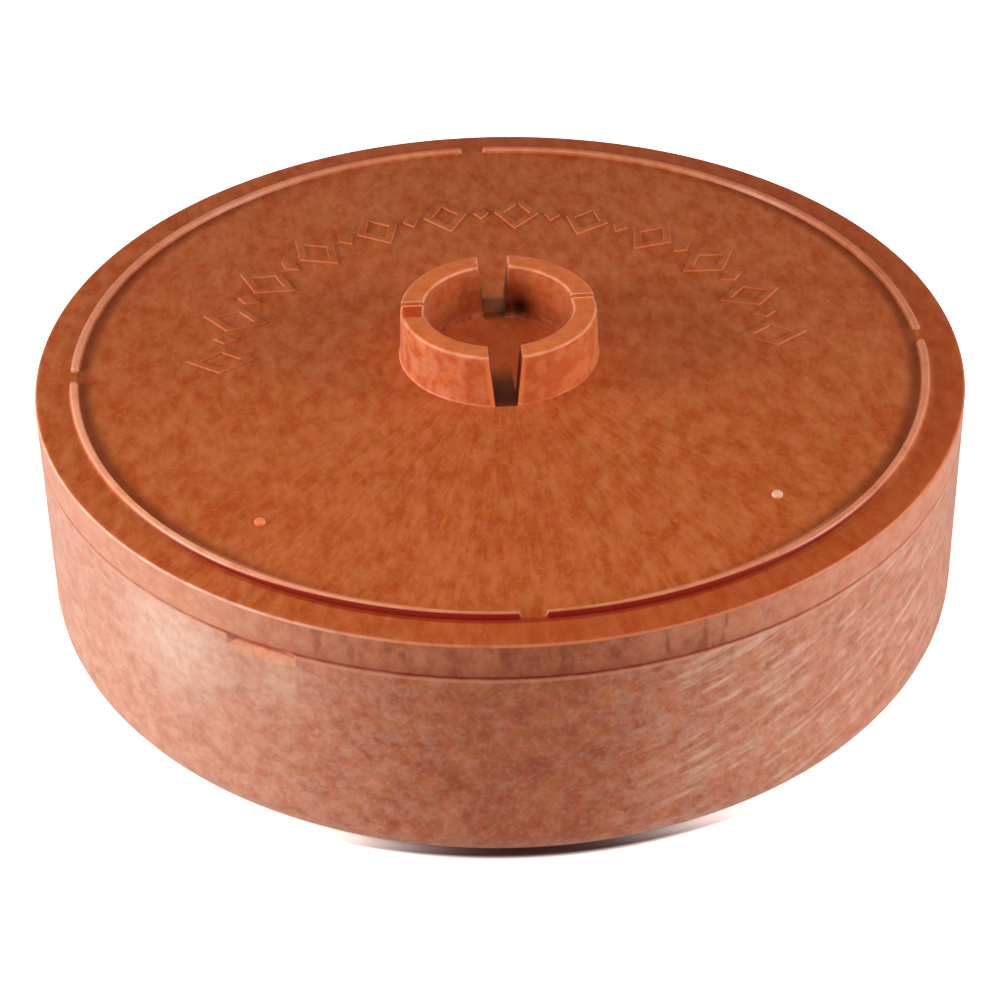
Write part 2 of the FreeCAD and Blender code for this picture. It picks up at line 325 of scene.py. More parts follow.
def grown(name, mesh, tree, **values):
    """The plain mesh object that a geometry tree makes of a mesh."""
    seed = linked(name + "_seed", mesh)
    modifier = seed.modifiers.new("tree", "NODES")
    modifier.node_group = tree
    for item in tree.interface.items_tree:
        if item.in_out == "INPUT" and item.name in values:
            modifier[item.identifier] = values[item.name]
    evaluated = seed.evaluated_get(bpy.context.evaluated_depsgraph_get())
    piece = linked(name, bpy.data.meshes.new_from_object(evaluated))
    bpy.data.objects.remove(seed)
    return piece


start, given = tree_with_inputs("turn_outline", Sides="Int", Axle="Float", Join="Float",
                                Material="Material")
outline = start.node("GeometryNodeMeshToCurve", {0: start})
circle = start.node("GeometryNodeCurvePrimitiveCircle",
                    {"Resolution": given["Sides"], "Radius": given["Axle"]})
swept = start.node("GeometryNodeCurveToMesh", {"Curve": circle, "Profile Curve": outline})
closed = start.node("GeometryNodeMergeByDistance", {0: swept, "Distance": given["Join"]})
turn_outline = end_tree(closed, given["Material"])


def turned(name, corners, material, sides=LATHE_SIDES):
    """A solid of revolution about the vertical axis, from an outline that starts and ends on it."""
    axle = 10 * MM
    points = rounded_outline(corners)
    mesh = bpy.data.meshes.new(name + "_outline")
    edges = [(i, i + 1) for i in range(len(points) - 1)]
    mesh.from_pydata([(p.x - axle, -p.y, 0) for p in points], edges, [])
    return grown(name, mesh, turn_outline, Sides=sides, Axle=axle, Join=0.005 * MM, Material=material)


def sharpen(piece, limit=math.radians(32)):
    """Keep the creases of a smoothly shaded mesh that are steeper than the limit."""
    shape = bmesh.new()
    shape.from_mesh(piece.data)
    for edge in shape.edges:
        edge.smooth = len(edge.link_faces) == 2 and edge.calc_face_angle(0) < limit
    shape.to_mesh(piece.data)
    shape.free()


PRY_WIDTH = 21.0 * MM
PRY_HEIGHT = 4.4 * MM
PRY_DEPTH = 1.6 * MM
PRY_BEARING = 238
PRY_REACH = 18 * MM
STREAKS_BEARING = math.radians(308)
PALE_PATCH = {"bearing": 225, "height": 48 * MM, "reach": 27 * MM}
PALE_SPOT = {"bearing": 240, "height": 47 * MM, "reach": 13 * MM}
STREAK_PALE = paint(234, 188, 162)
PATCH_PALE = paint(252, 216, 198)
SPOT_PALE = paint(244, 204, 176)
RIM_HIGHLIGHT = paint(232, 158, 126)
SEAM_SHADE_RED = paint(150, 48, 30)
CUT_ORANGE = paint(212, 126, 90)
CUT_PALE = paint(236, 164, 128)
CUT_SHADE_RED = paint(176, 56, 30)


def tub_finish(place, facing):
    """Wall colour, with flow streaks right of the front, pale patches left of it and a bare pry notch.

    The rim's rounded edge is painted pale as a highlight, and painted dark red under the lid as the
    shade of the seam, most of all at the front.
    """
    colour, relief = wall_finish(place, facing)
    x, y, z = place.apart()
    outward = place.vector("NORMALIZE", on_table(place))
    middle = (math.cos(STREAKS_BEARING), math.sin(STREAKS_BEARING), 0.0)
    streaked = place.vector("DOT_PRODUCT", outward, middle, output="Value").ramp(0.84, 0.97)
    streaks = climbing_streaks(place, lean=3.0, width=6.6 * MM, rise=4.6 * MM).ramp(0.44, 0.7)
    broken = place.noise(130.0, detail=4.0, roughness=0.65).ramp(0.32, 0.62)
    outer_side = place.vector("DOT_PRODUCT", facing, outward, output="Value").ramp(0.05, 0.4)
    streaks = streaks * broken * streaked * outer_side
    colour = (streaks * 0.7).between(colour, STREAK_PALE)
    mottle = place.noise(300.0, detail=3.0, roughness=0.6).ramp(0.25, 0.65)
    patch = near(place, **PALE_PATCH) * (0.4 + 0.6 * mottle) * outer_side
    colour = (patch * 0.55).between(colour, PATCH_PALE)
    spot = near(place, **PALE_SPOT) * (0.3 + 0.7 * mottle) * outer_side
    colour = (spot * 0.4).between(colour, SPOT_PALE)
    # Painted highlight: the rim's rounded edge is painted pale.
    rim = z.ramp(TUB_HEIGHT - 1.7 * MM, TUB_HEIGHT - 1.0 * MM)
    colour = (rim * 0.4).between(colour, RIM_HIGHLIGHT)
    # Painted shade: a dark red line in the seam under the lid, deepest at the front.
    seam_shade = z.ramp(TUB_HEIGHT - 0.75 * MM, TUB_HEIGHT - 0.25 * MM)
    deep = (y / OUTER).ramp(-0.55, -0.95)
    colour = (seam_shade * (0.4 + 0.4 * deep) * (0.6 + 0.4 * broken)).between(colour, SEAM_SHADE_RED)

    radius = from_axis(place)
    cut = radius.ramp(OUTER - 0.05 * MM, OUTER - 0.25 * MM)
    cut = cut * radius.ramp(OUTER - TUB_WALL, OUTER - PRY_DEPTH - 0.3 * MM)
    cut = cut * z.ramp(TUB_HEIGHT - 0.5 * RIM_ROUND, TUB_HEIGHT - RIM_ROUND)
    cut = cut * near(place, PRY_BEARING, TUB_HEIGHT, PRY_REACH)
    bare = mottle.between(CUT_ORANGE, CUT_PALE)
    # Painted shade: the top of the notch, under the lid's overhang, is painted dark red.
    under_lid = z.ramp(TUB_HEIGHT - 2.2 * MM, TUB_HEIGHT - 1.4 * MM)
    bare = (under_lid * 0.75).between(bare, CUT_SHADE_RED)
    return cut.between(colour, bare), relief, cut.larger(seam_shade)


tub_plastic = plastic("tub_plastic", tub_finish)
foot_inner = OUTER - TUB_CORNER - FOOT_WIDTH
tub = turned("tub", [
    (0, FOOT_RECESS, 0),
    (foot_inner, FOOT_RECESS, 1.0 * MM),
    (foot_inner + FOOT_RECESS, 0, 0.4 * MM),
    (OUTER, 0, TUB_CORNER),
    (OUTER, TUB_HEIGHT, RIM_ROUND),
    (OUTER - TUB_WALL, TUB_HEIGHT, RIM_ROUND),
    (OUTER - TUB_WALL - TUB_DRAFT, TUB_FLOOR, TUB_INNER_CORNER),
    (0, TUB_FLOOR, 0),
], tub_plastic)

PRY_OVER = 2.0 * MM
PRY_FLARE = 5.0 * MM
wedge = bmesh.new()
profile = [
    (OUTER - PRY_DEPTH, TUB_HEIGHT + PRY_OVER),
    (OUTER - PRY_DEPTH, TUB_HEIGHT - RIM_ROUND),
    (OUTER, TUB_HEIGHT - PRY_HEIGHT),
    (OUTER + PRY_OVER, TUB_HEIGHT - PRY_HEIGHT),
    (OUTER + PRY_OVER, TUB_HEIGHT + PRY_OVER),
]
ends = [[wedge.verts.new((r, side * (PRY_WIDTH / 2 - PRY_FLARE * min(1, (OUTER - r) / PRY_DEPTH)), h))
         for r, h in profile] for side in (-1, 1)]
wedge.faces.new(ends[0])
wedge.faces.new(reversed(ends[1]))
for i in range(len(profile)):
    j = (i + 1) % len(profile)
    wedge.faces.new((ends[0][j], ends[0][i], ends[1][i], ends[1][j]))
bmesh.ops.recalc_face_normals(wedge, faces=wedge.faces)
wedge.transform(Matrix.Rotation(math.radians(PRY_BEARING), 4, "Z"))
wedge_mesh = bpy.data.meshes.new("pry_cutter")
wedge.to_mesh(wedge_mesh)
wedge.free()
wedge_mesh.materials.append(tub_plastic)
cutter = linked("pry_cutter", wedge_mesh)
cut = tub.modifiers.new("pry_notch", "BOOLEAN")
cut.operation = "DIFFERENCE"
cut.solver = "EXACT"
cut.object = cutter
notched = bpy.data.meshes.new_from_object(tub.evaluated_get(bpy.context.evaluated_depsgraph_get()))
tub.modifiers.clear()
tub.data = notched
bpy.data.objects.remove(cutter)
sharpen(tub)
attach(tub, "base")
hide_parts("base_tub")

# ---------------------------------------------------------------------------------------------
# The lid's shell. A second moulding in the same plastic: a shallow dome with a straight band that
# stands on the tub's rim, and inside the band a thin ring that drops into the tub and centres it.
# The dome dips under the grip, so that the plate is equally thick all over.
# ---------------------------------------------------------------------------------------------
BAND_HEIGHT = 9.6 * MM
BAND_WALL = 3.0 * MM
LID_PLATE = 3.0 * MM
CROWN_RISE = 2.2 * MM
LID_ROUND = 1.2 * MM
SEAM_ROUND = 0.4 * MM
LOCATING_GAP = 0.4 * MM
LOCATING_WALL = 2.2 * MM
LOCATING_DEPTH = 6.0 * MM
RIM_TOP = TUB_HEIGHT + BAND_HEIGHT
GRIP_INNER_FOOT = 18.3 * MM
GRIP_INNER_TOP = 19.0 * MM
GRIP_OUTER_FOOT = 25.2 * MM
GRIP_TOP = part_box("lid")[1].z
GRIP_FLOOR = RIM_TOP + 0.9 * MM
SLOT_TOP = 7.9 * MM
SLOT_FOOT = 5.3 * MM
SILL = RIM_TOP + 2.6 * MM
BEAD_RADIUS = 107.6 * MM
BEAD_FOOT = 2.6 * MM
DOME_STEPS = 26


def crown(radius):
    """Height of the lid's top at a radius."""
    return RIM_TOP + CROWN_RISE * (1 - (radius / OUTER) ** 2)


# The flow's noise changes by so much with the bearing, and by so much with the place.
FLOW_BY_BEARING = (52.0, 52.0, 52.0)
FLOW_BY_PLACE = (110.0, 110.0, 110.0)
TOP_DARK = paint(166, 68, 20)
TOP_PALE = paint(190, 105, 59)
TOP_RED = paint(192, 86, 54)
TOP_BROWN = paint(176, 90, 32)
FLOW_PALE = paint(200, 106, 48)
FLOW_DARK = paint(162, 66, 18)
GRAIN_ORANGE = paint(202, 106, 58)
FLECK_PALE = paint(214, 124, 84)


def top_finish(place, facing):
    """Colour and relief of the lid's top: deep orange, with faint marks drawn outwards by the flow."""
    outward = place.vector("NORMALIZE", on_table(place))
    spread = place.vector("ADD", place.vector("MULTIPLY", outward, FLOW_BY_BEARING),
                          place.vector("MULTIPLY", place, FLOW_BY_PLACE))
    flow = spread.noise(1.0, detail=4.0, roughness=0.6)
    brushed = outward.apart()[1].ramp(-0.3, -0.85) * 0.6
    drawn = place.vector("MULTIPLY", place, DRAWN)
    clouds = drawn.noise(290.0, detail=4.0, roughness=0.6).ramp(0.26, 0.74)
    tint = place.vector("ADD", drawn, (0.3, 0.9, 0.1)).noise(340.0, detail=3.0)
    grain = place.noise(GRAIN_SCALE, detail=2.0)
    flecks = fibres(place, facing, spacing=5.0 * MM, width=FIBRE_WIDTH, length=1.2 * MM, seed=0.47)
    colour = clouds.between(TOP_DARK, TOP_PALE)
    colour = (flow.ramp(0.5, 0.7) * brushed).between(colour, FLOW_PALE)
    colour = (flow.ramp(0.48, 0.3) * brushed).between(colour, FLOW_DARK)
    colour = (grain.ramp(0.5, 0.7) * 0.22).between(colour, GRAIN_ORANGE)
    colour = (tint.ramp(0.5, 0.7) * 0.4).between(colour, TOP_RED)
    colour = (tint.ramp(0.5, 0.3) * 0.5).between(colour, TOP_BROWN)
    colour = (flecks * 0.2).between(colour, FLECK_PALE)
    return colour, flecks * 0.3 + grain * 0.7


def beyond_slot(x, z):
    """How far a place lies to the side of the grip's slots, less than 0 inside them."""
    widening = (SLOT_TOP - SLOT_FOOT) / 2 / (GRIP_TOP - SILL)
    return abs(x) - (SLOT_FOOT / 2 + (z - SILL) * widening)


FRONT_SLOT_SHADE_STARTS = (-3 * MM, -14 * MM)
FRONT_SLOT_SHADE_DARKENS = (-11 * MM, -22 * MM)
FRONT_SLOT_SHADE_ENDS = (-25.5 * MM, -25.0 * MM)
REAR_SLOT_SHADE_STARTS = (17.0 * MM, 18.1 * MM)
REAR_SLOT_SHADE_FADES = (36 * MM, 17 * MM)
REAR_SLOT_SHADE_TOP = (RIM_TOP + 15 * MM, RIM_TOP + 8 * MM)
SHADE_HAZE = {"bearing": 72, "height": RIM_TOP + 7.0 * MM, "reach": 9.0 * MM, "radius": GRIP_INNER_FOOT}
DARK_SPOT = {"bearing": 69, "height": RIM_TOP + 4.4 * MM, "reach": 5.0 * MM, "radius": GRIP_INNER_FOOT}
SIDE_SPOT = {"bearing": 80, "height": RIM_TOP + 3.8 * MM, "reach": 4.4 * MM, "radius": GRIP_INNER_FOOT}
SLOT_SHADE_BROWN = paint(92, 48, 18)
SLOT_SHADE_DARK = paint(74, 24, 16)
REAR_SHADE_BROWN = paint(104, 64, 26)
SHADE_HAZE_RED = paint(112, 36, 18)
SPOT_BLACK = paint(42, 16, 14)


def slot_and_bore_darkening(place, colour):
    """The colour with painted shade in the grip's slots and in its bore, and where it is painted.

    Low in the bore is a near-black spot with a second one beside it, inside a faint haze of painted
    shade.
    """
    x, y, z = place.apart()
    # Painted shade: the slots are painted dark brown, the front one darker the further in.
    inside = beyond_slot(x, z).ramp(0.35 * MM, 0.05 * MM)
    front = inside * y.ramp(*FRONT_SLOT_SHADE_STARTS) * y.ramp(*FRONT_SLOT_SHADE_ENDS)
    rear = inside * y.ramp(*REAR_SLOT_SHADE_STARTS) * y.ramp(*REAR_SLOT_SHADE_FADES) * z.ramp(*REAR_SLOT_SHADE_TOP)
    brown = y.ramp(*FRONT_SLOT_SHADE_DARKENS).between(SLOT_SHADE_BROWN, SLOT_SHADE_DARK)
    colour = (front * 0.94).between(colour, brown)
    colour = (rear * 0.75).between(colour, REAR_SHADE_BROWN)
    # Painted shade: a soft dark red haze low in the bore beside the rear slot.
    colour = (near(place, **SHADE_HAZE) * 0.6).between(colour, SHADE_HAZE_RED)
    # A near-black spot low in the bore, with a second one beside it.
    blot = near(place, **DARK_SPOT).larger(near(place, **SIDE_SPOT) * 0.8)
    colour = (blot * 0.95).between(colour, SPOT_BLACK)
    return colour, blot.larger(front.larger(rear))


BORE_FLOOR_EDGE = (19 * MM, 17 * MM)
BEAD_SHADOW_WIDTH = 5.5 * MM
HIGHLIGHT_STRIP_EDGE = (104.9 * MM, 105.7 * MM)
FRONT_SHADOW_EDGE = (110.4 * MM, 109.7 * MM)
OUTSIDE_BEAD = (109 * MM, 110.5 * MM)
BAND_SHEEN_PINK = paint(228, 142, 106)
BAND_FRONT_SHADE = paint(164, 74, 32)
STREAK_BROWN = paint(142, 58, 26)
STREAK_ORANGE = paint(212, 124, 80)
LOW_BAND_SHADE = paint(142, 58, 30)
LID_SEAM_SHADE = paint(150, 52, 34)
BORE_FLOOR_ORANGE = paint(216, 98, 50)
BEAD_SHADOW_BROWN = paint(112, 46, 20)
STRIP_HIGHLIGHT_PALE = paint(240, 150, 108)
FRONT_SHADOW_RED = paint(136, 28, 16)
RIM_BROWN = paint(160, 60, 22)
EDGE_HIGHLIGHT_ORANGE = paint(240, 146, 98)
EDGE_HIGHLIGHT_PALE = paint(250, 200, 172)


def lid_finish(place, facing):
    """The band is like the tub's wall, with upright streaks, its sides painted paler as a sheen, and its
    front painted darker as shade, most at the foot.

    Its upper edge has a painted highlight, strongest on the left. The top is orange, with a painted
    shadow along the inside of the bead, but for a strip of painted highlight on each side of the front.
    A dark red painted shadow follows the outside of the bead round the front.
    """
    band, relief = wall_finish(place, facing)
    top = top_finish(place, facing)[0]
    x, y, z = place.apart()
    frontal = (y / OUTER).ramp(-0.78, -0.99)
    streaks = climbing_streaks(place, lean=0.0, width=3.4 * MM, rise=9 * MM)
    # Painted sheen: the band's sides are painted paler. Painted shade: its front is painted darker.
    band = (abs(x / OUTER).ramp(0.1, 0.5) * 0.35).between(band, BAND_SHEEN_PINK)
    band = (0.3 * frontal).between(band, BAND_FRONT_SHADE)
    band = (streaks.ramp(0.5, 0.32) * 0.75 * frontal).between(band, STREAK_BROWN)
    band = (streaks.ramp(0.52, 0.72) * 0.6 * frontal).between(band, STREAK_ORANGE)
    # Painted shade: at the front the band is painted darker towards the seam.
    low = z.ramp(TUB_HEIGHT + 4.5 * MM, TUB_HEIGHT)
    band = (low * 0.4 * frontal).between(band, LOW_BAND_SHADE)
    # Painted shade: a dark red line along the band's foot at the seam, strongest at the front.
    seam_shade = z.ramp(TUB_HEIGHT + 0.9 * MM, TUB_HEIGHT + 0.2 * MM)
    band = (seam_shade * (0.2 + 0.3 * frontal)).between(band, LID_SEAM_SHADE)

    radius = from_axis(place)
    top = (radius.ramp(*BORE_FLOOR_EDGE) * 0.35).between(top, BORE_FLOOR_ORANGE)
    # Painted shadow: just inside the bead the top is painted dark brown, most on the left and the right.
    bead_shadow = radius.ramp(BEAD_RADIUS - BEAD_SHADOW_WIDTH, BEAD_RADIUS - BEAD_FOOT)
    bead_shadow = bead_shadow * (0.1 + 0.5 * abs(x / radius).ramp(0.3, 0.8))
    bead_shadow = bead_shadow * radius.ramp(BEAD_RADIUS, BEAD_RADIUS - BEAD_FOOT / 2)
    top = bead_shadow.between(top, BEAD_SHADOW_BROWN)
    ahead = -1 * y / radius
    # Painted highlight: a pale strip just inside the bead on each side of the front.
    painted_highlight = radius.ramp(*HIGHLIGHT_STRIP_EDGE) * radius.ramp(BEAD_RADIUS, BEAD_RADIUS - 1.0 * MM)
    painted_highlight = painted_highlight * 0.5 * ahead.ramp(0.6, 0.8) * ahead.ramp(0.99, 0.96)
    top = painted_highlight.between(top, STRIP_HIGHLIGHT_PALE)
    # Painted shadow: a dark red line just outside the bead round the front.
    front_shadow = radius.ramp(BEAD_RADIUS, BEAD_RADIUS + BEAD_FOOT / 2) * radius.ramp(*FRONT_SHADOW_EDGE)
    top = (front_shadow * 0.8 * ahead.ramp(0.55, 0.97)).between(top, FRONT_SHADOW_RED)
    rightward = (x / OUTER).ramp(-0.6, 0.1)
    top = (radius.ramp(*OUTSIDE_BEAD) * 0.45 * rightward).between(top, RIM_BROWN)

    colour = z.ramp(RIM_TOP - 1.2 * MM, RIM_TOP - 0.5 * MM).between(band, top)
    # Painted highlight: the lid's rounded upper edge is painted pale, most on the left.
    facing_up = facing.apart()[2]
    turned_edge = facing_up.ramp(0.1, 0.35) * facing_up.ramp(0.85, 0.55)
    edge_highlight = turned_edge * radius.ramp(OUTER - 1.2 * MM, OUTER - 0.6 * MM)
    edge_highlight = edge_highlight * (0.45 + 0.55 * place.noise(160.0, detail=3.0).ramp(0.3, 0.6))
    left = (x / -OUTER).ramp(0.1, 0.7)
    colour = (edge_highlight * (0.5 + 0.3 * left)).between(colour, left.between(EDGE_HIGHLIGHT_ORANGE, EDGE_HIGHLIGHT_PALE))
    colour, shade_and_spot = slot_and_bore_darkening(place, colour)
    return colour, relief, shade_and_spot.larger(seam_shade)


lid_plastic = plastic("lid_plastic", lid_finish)
locating_outside = OUTER - TUB_WALL - LOCATING_GAP
locating_inside = locating_outside - LOCATING_WALL
band_inside = OUTER - BAND_WALL
dish = GRIP_INNER_TOP + LID_PLATE
dome_start = GRIP_OUTER_FOOT + 0.8 * MM
dome_end = OUTER - 2 * LID_ROUND
dome = [dome_start + (dome_end - dome_start) * s / DOME_STEPS for s in range(DOME_STEPS + 1)]
lid_shell = turned("lid_shell", [
    (0, GRIP_FLOOR, 0),
    (GRIP_INNER_FOOT, GRIP_FLOOR, 0.5 * MM),
    (GRIP_INNER_FOOT + 0.12 * MM, SILL, 0.3 * MM),
    (GRIP_OUTER_FOOT - 0.3 * MM, SILL, 0.2 * MM),
    (GRIP_OUTER_FOOT, crown(GRIP_OUTER_FOOT), 0.2 * MM),
    *[(r, crown(r), 0) for r in dome],
    (OUTER, RIM_TOP, LID_ROUND),
    (OUTER, TUB_HEIGHT, SEAM_ROUND),
    (band_inside, TUB_HEIGHT, 0.4 * MM),
    (band_inside, crown(band_inside) - LID_PLATE, 0.3 * MM),
    (locating_outside, crown(locating_outside) - LID_PLATE, 0.3 * MM),
    (locating_outside, TUB_HEIGHT - LOCATING_DEPTH, 0.5 * MM),
    (locating_inside, TUB_HEIGHT - LOCATING_DEPTH, 0.5 * MM),
    (locating_inside, crown(locating_inside) - LID_PLATE, 1.5 * MM),
    *[(r, crown(r) - LID_PLATE, 0) for r in reversed(dome[1:-3])],
    (dish + LID_PLATE, crown(dish + LID_PLATE) - LID_PLATE, 1.5 * MM),
    (dish, GRIP_FLOOR - LID_PLATE, 1.5 * MM),
    (0, GRIP_FLOOR - LID_PLATE, 0),
], lid_plastic)
sharpen(lid_shell)
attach(lid_shell, "lid")
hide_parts("lid")

# ---------------------------------------------------------------------------------------------
# The grip. A short hollow ring moulded with the lid, for thumb and fingers. Two tapered slots at
# the front and back split it into halves, and a shallow notch crosses the top of each half. All
# its edges are broken by small rounds, and it runs into the dome on a small fillet.
# ---------------------------------------------------------------------------------------------
GRIP_OUTER_TOP = 24.7 * MM
GRIP_EDGE = 0.75 * MM
GRIP_FILLET = 0.45 * MM
SLOT_EDGE = 0.5 * MM
NOTCH_WIDTH = 7.2 * MM
NOTCH_DEPTH = 1.4 * MM
NOTCH_EDGE = 0.35 * MM
TUCK = 0.3 * MM
COAT = 0.03 * MM
ROUND_STEPS = 5
SWEEP_STEPS = 26
OUTER_SIDE_FROM = (22 * MM, 23.5 * MM)
BORE_UP_TO = (20.5 * MM, 19.5 * MM)
NOTCH_SHADE_UP_TO = (24.6 * MM, 23.4 * MM)
TOP_EDGE_FROM = (GRIP_TOP - 2.4 * MM, GRIP_TOP - 1.8 * MM)
LOW_EDGE_UP_TO = (RIM_TOP + 4.2 * MM, RIM_TOP + 3.2 * MM)
BORE_FOOT_UP_TO = (GRIP_FLOOR + 2.6 * MM, GRIP_FLOOR + 1.4 * MM)
LIP_WIDTH = (1.8 * MM, 0.7 * MM)
RING_ORANGE = paint(224, 116, 62)
SIDE_DARK = paint(200, 92, 42)
SIDE_ORANGE = paint(212, 114, 60)
SIDE_PINK = paint(240, 164, 130)
BORE_LIT_MOTTLE = paint(218, 108, 58)
BORE_FOOT_HIGHLIGHT = paint(236, 150, 116)
NOTCH_SHADE_RED = paint(176, 54, 20)
GRIP_EDGE_HIGHLIGHT = paint(250, 164, 122)
LIP_HIGHLIGHT_ORANGE = paint(246, 138, 78)


def grip_finish(place, facing):
    """Orange like the lid's top. The outer sides are mottled and paler, and all edges carry a painted
    highlight.

    The left notch is painted dark red as shade, and painted shade lies in the slots and in the bore,
    with a near-black spot there.
    """
    colour, relief = top_finish(place, facing)
    x, y, z = place.apart()
    facing_up = facing.apart()[2]
    upright = abs(facing_up).ramp(0.6, 0.3)
    upper = z.ramp(*TOP_EDGE_FROM)
    radius = from_axis(place)
    left = (x / -GRIP_OUTER_FOOT).ramp(-0.2, 0.9)
    mottle = place.noise(300.0, detail=4.0, roughness=0.65).ramp(0.34, 0.66)
    blotch = place.vector("ADD", place, (0.4, 0.1, 0.6)).noise(230.0, detail=3.0).ramp(0.45, 0.6)
    ring = facing_up.ramp(0.85, 0.97) * upper
    colour = (ring * (0.45 + 0.4 * mottle)).between(colour, RING_ORANGE)
    outside = upright * radius.ramp(*OUTER_SIDE_FROM)
    side = blotch.between(SIDE_DARK, SIDE_ORANGE)
    side = (mottle * (0.1 + 0.34 * left)).between(side, SIDE_PINK)
    colour = outside.between(colour, side)
    # Mottle on the bore's walls, painted stronger towards the right as painted light on that side.
    bore = upright * radius.ramp(*BORE_UP_TO)
    right = (x / GRIP_INNER_TOP).ramp(-0.2, 0.6)
    colour = (bore * mottle * (0.2 + 0.25 * right)).between(colour, BORE_LIT_MOTTLE)
    # Painted highlight: a pale line low on the bore's wall, just above its floor.
    foot = bore * z.ramp(*BORE_FOOT_UP_TO)
    colour = (foot * 0.6 * mottle).between(colour, BORE_FOOT_HIGHLIGHT)

    # Painted shade: the floor of the left notch is painted dark red.
    in_notch = abs(y).ramp(NOTCH_WIDTH / 2 + 0.3 * MM, NOTCH_WIDTH / 2 - 0.9 * MM)
    in_notch = in_notch * facing_up.ramp(0.6, 0.9) * radius.ramp(*NOTCH_SHADE_UP_TO) * left
    colour = (in_notch * 0.8).between(colour, NOTCH_SHADE_RED)
    # Painted highlight: the rounded edges are painted pale, the top ones all round and the low ones on
    # the left.
    rounded = facing_up.ramp(0.0, 0.3) * facing_up.ramp(0.995, 0.88) * (0.5 + 0.5 * mottle)
    lower = z.ramp(*LOW_EDGE_UP_TO) * left
    colour = (rounded * (0.7 * upper + 0.6 * lower)).between(colour, GRIP_EDGE_HIGHLIGHT)
    # Painted highlight: a pale orange strip along the outer edges of the slots.
    side_gap = beyond_slot(x, z)
    lip = side_gap.ramp(0.1 * MM, 0.35 * MM) * side_gap.ramp(*LIP_WIDTH)
    colour = (lip * outside * 0.8).between(colour, LIP_HIGHLIGHT_ORANGE)
    colour, shade_and_spot = slot_and_bore_darkening(place, colour)
    matt_sides_and_notch = (outside * 0.55).larger(in_notch)
    return colour, relief, shade_and_spot.larger(matt_sides_and_notch)


grip_plastic = plastic("grip_plastic", grip_finish, roughness=0.4)


def grip_section(drop, inset):
    """The half ring's section in (radius, height), its top lowered by drop and all sides drawn in."""
    foot = crown(GRIP_OUTER_FOOT)
    top = GRIP_TOP - drop - inset
    lean_out = (GRIP_OUTER_FOOT - GRIP_OUTER_TOP) / (GRIP_TOP - foot)
    lean_in = (GRIP_INNER_TOP - GRIP_INNER_FOOT) / (GRIP_TOP - GRIP_FLOOR)
    outer = GRIP_OUTER_TOP + lean_out * (GRIP_TOP - top) - inset
    inner = GRIP_INNER_TOP - lean_in * (GRIP_TOP - top) + inset
    skirt = GRIP_OUTER_FOOT + 2.2 * GRIP_FILLET
    bottom = GRIP_FLOOR - TUCK
    return rounded_outline([
        (GRIP_INNER_FOOT - COAT + inset, bottom, 0),
        (skirt, bottom, 0),
        (skirt, crown(skirt) - COAT, 0),
        (GRIP_OUTER_FOOT - inset, foot - COAT, GRIP_FILLET + inset),
        (outer, top, GRIP_EDGE - inset),
        (inner, top, GRIP_EDGE - inset),
        (GRIP_INNER_FOOT - COAT + inset, bottom, 0),
    ], pitch=60 * MM, shoulder=0.5 * MM)[:-1]


def slot_half(height):
    """Half the slot's width at a height."""
    share = min(1, max(0, (height - SILL) / (GRIP_TOP - SILL)))
    return (SLOT_FOOT + (SLOT_TOP - SLOT_FOOT) * share) / 2


def slot_angles(section, gap):
    """The bearing of each point of a section that lies at a distance from the rear slot's wall."""
    return [math.acos((slot_half(height) + gap) / radius) for radius, height in section]


quarter = [math.pi / 2 * step / ROUND_STEPS for step in range(ROUND_STEPS + 1)]
columns = []
for angle in quarter:
    section = grip_section(0, SLOT_EDGE * (1 - math.sin(angle)))
    columns.append((section, slot_angles(section, SLOT_EDGE * (1 - math.cos(angle)))))
full = grip_section(0, 0)
half_notch = NOTCH_WIDTH / 2
notch_path = [(half_notch + NOTCH_EDGE * (1 - math.sin(a)), NOTCH_EDGE * (1 - math.cos(a)))
              for a in quarter]
notch_path += [(half_notch - NOTCH_EDGE * (1 - math.cos(a)),
                NOTCH_DEPTH - NOTCH_EDGE * (1 - math.sin(a))) for a in quarter]
slot_side = slot_angles(full, SLOT_EDGE)
notch_side = [math.asin(notch_path[0][0] / radius) for radius, _ in full]
for step in range(1, SWEEP_STEPS):
    share = step / SWEEP_STEPS
    columns.append((full, [a + (b - a) * share for a, b in zip(slot_side, notch_side)]))
for across, drop in notch_path:
    section = grip_section(drop, 0)
    columns.append((section, [math.asin(across / radius) for radius, _ in section]))
lowest = grip_section(NOTCH_DEPTH, 0)
last = columns[-1][1]
columns += [(lowest, [a * share for a in last]) for share in (0.66, 0.33)]
columns += [(section, [-a for a in angles]) for section, angles in reversed(columns)]

grip = bmesh.new()
for facing in (0, math.pi):
    rows = [[grip.verts.new((r * math.cos(a + facing), r * math.sin(a + facing), h))
             for (r, h), a in zip(section, angles)] for section, angles in columns]
    for row, following in zip(rows, rows[1:]):
        for i in range(len(row)):
            j = (i + 1) % len(row)
            grip.faces.new((row[i], row[j], following[j], following[i])).smooth = True
    grip.faces.new(rows[0])
    grip.faces.new(reversed(rows[-1]))
bmesh.ops.recalc_face_normals(grip, faces=grip.faces)
grip_mesh = bpy.data.meshes.new("grip_ring")
grip.to_mesh(grip_mesh)
grip.free()
grip_mesh.materials.append(grip_plastic)
grip_ring = linked("grip_ring", grip_mesh)
sharpen(grip_ring, limit=math.radians(50))
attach(grip_ring, "lid")
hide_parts("lid")

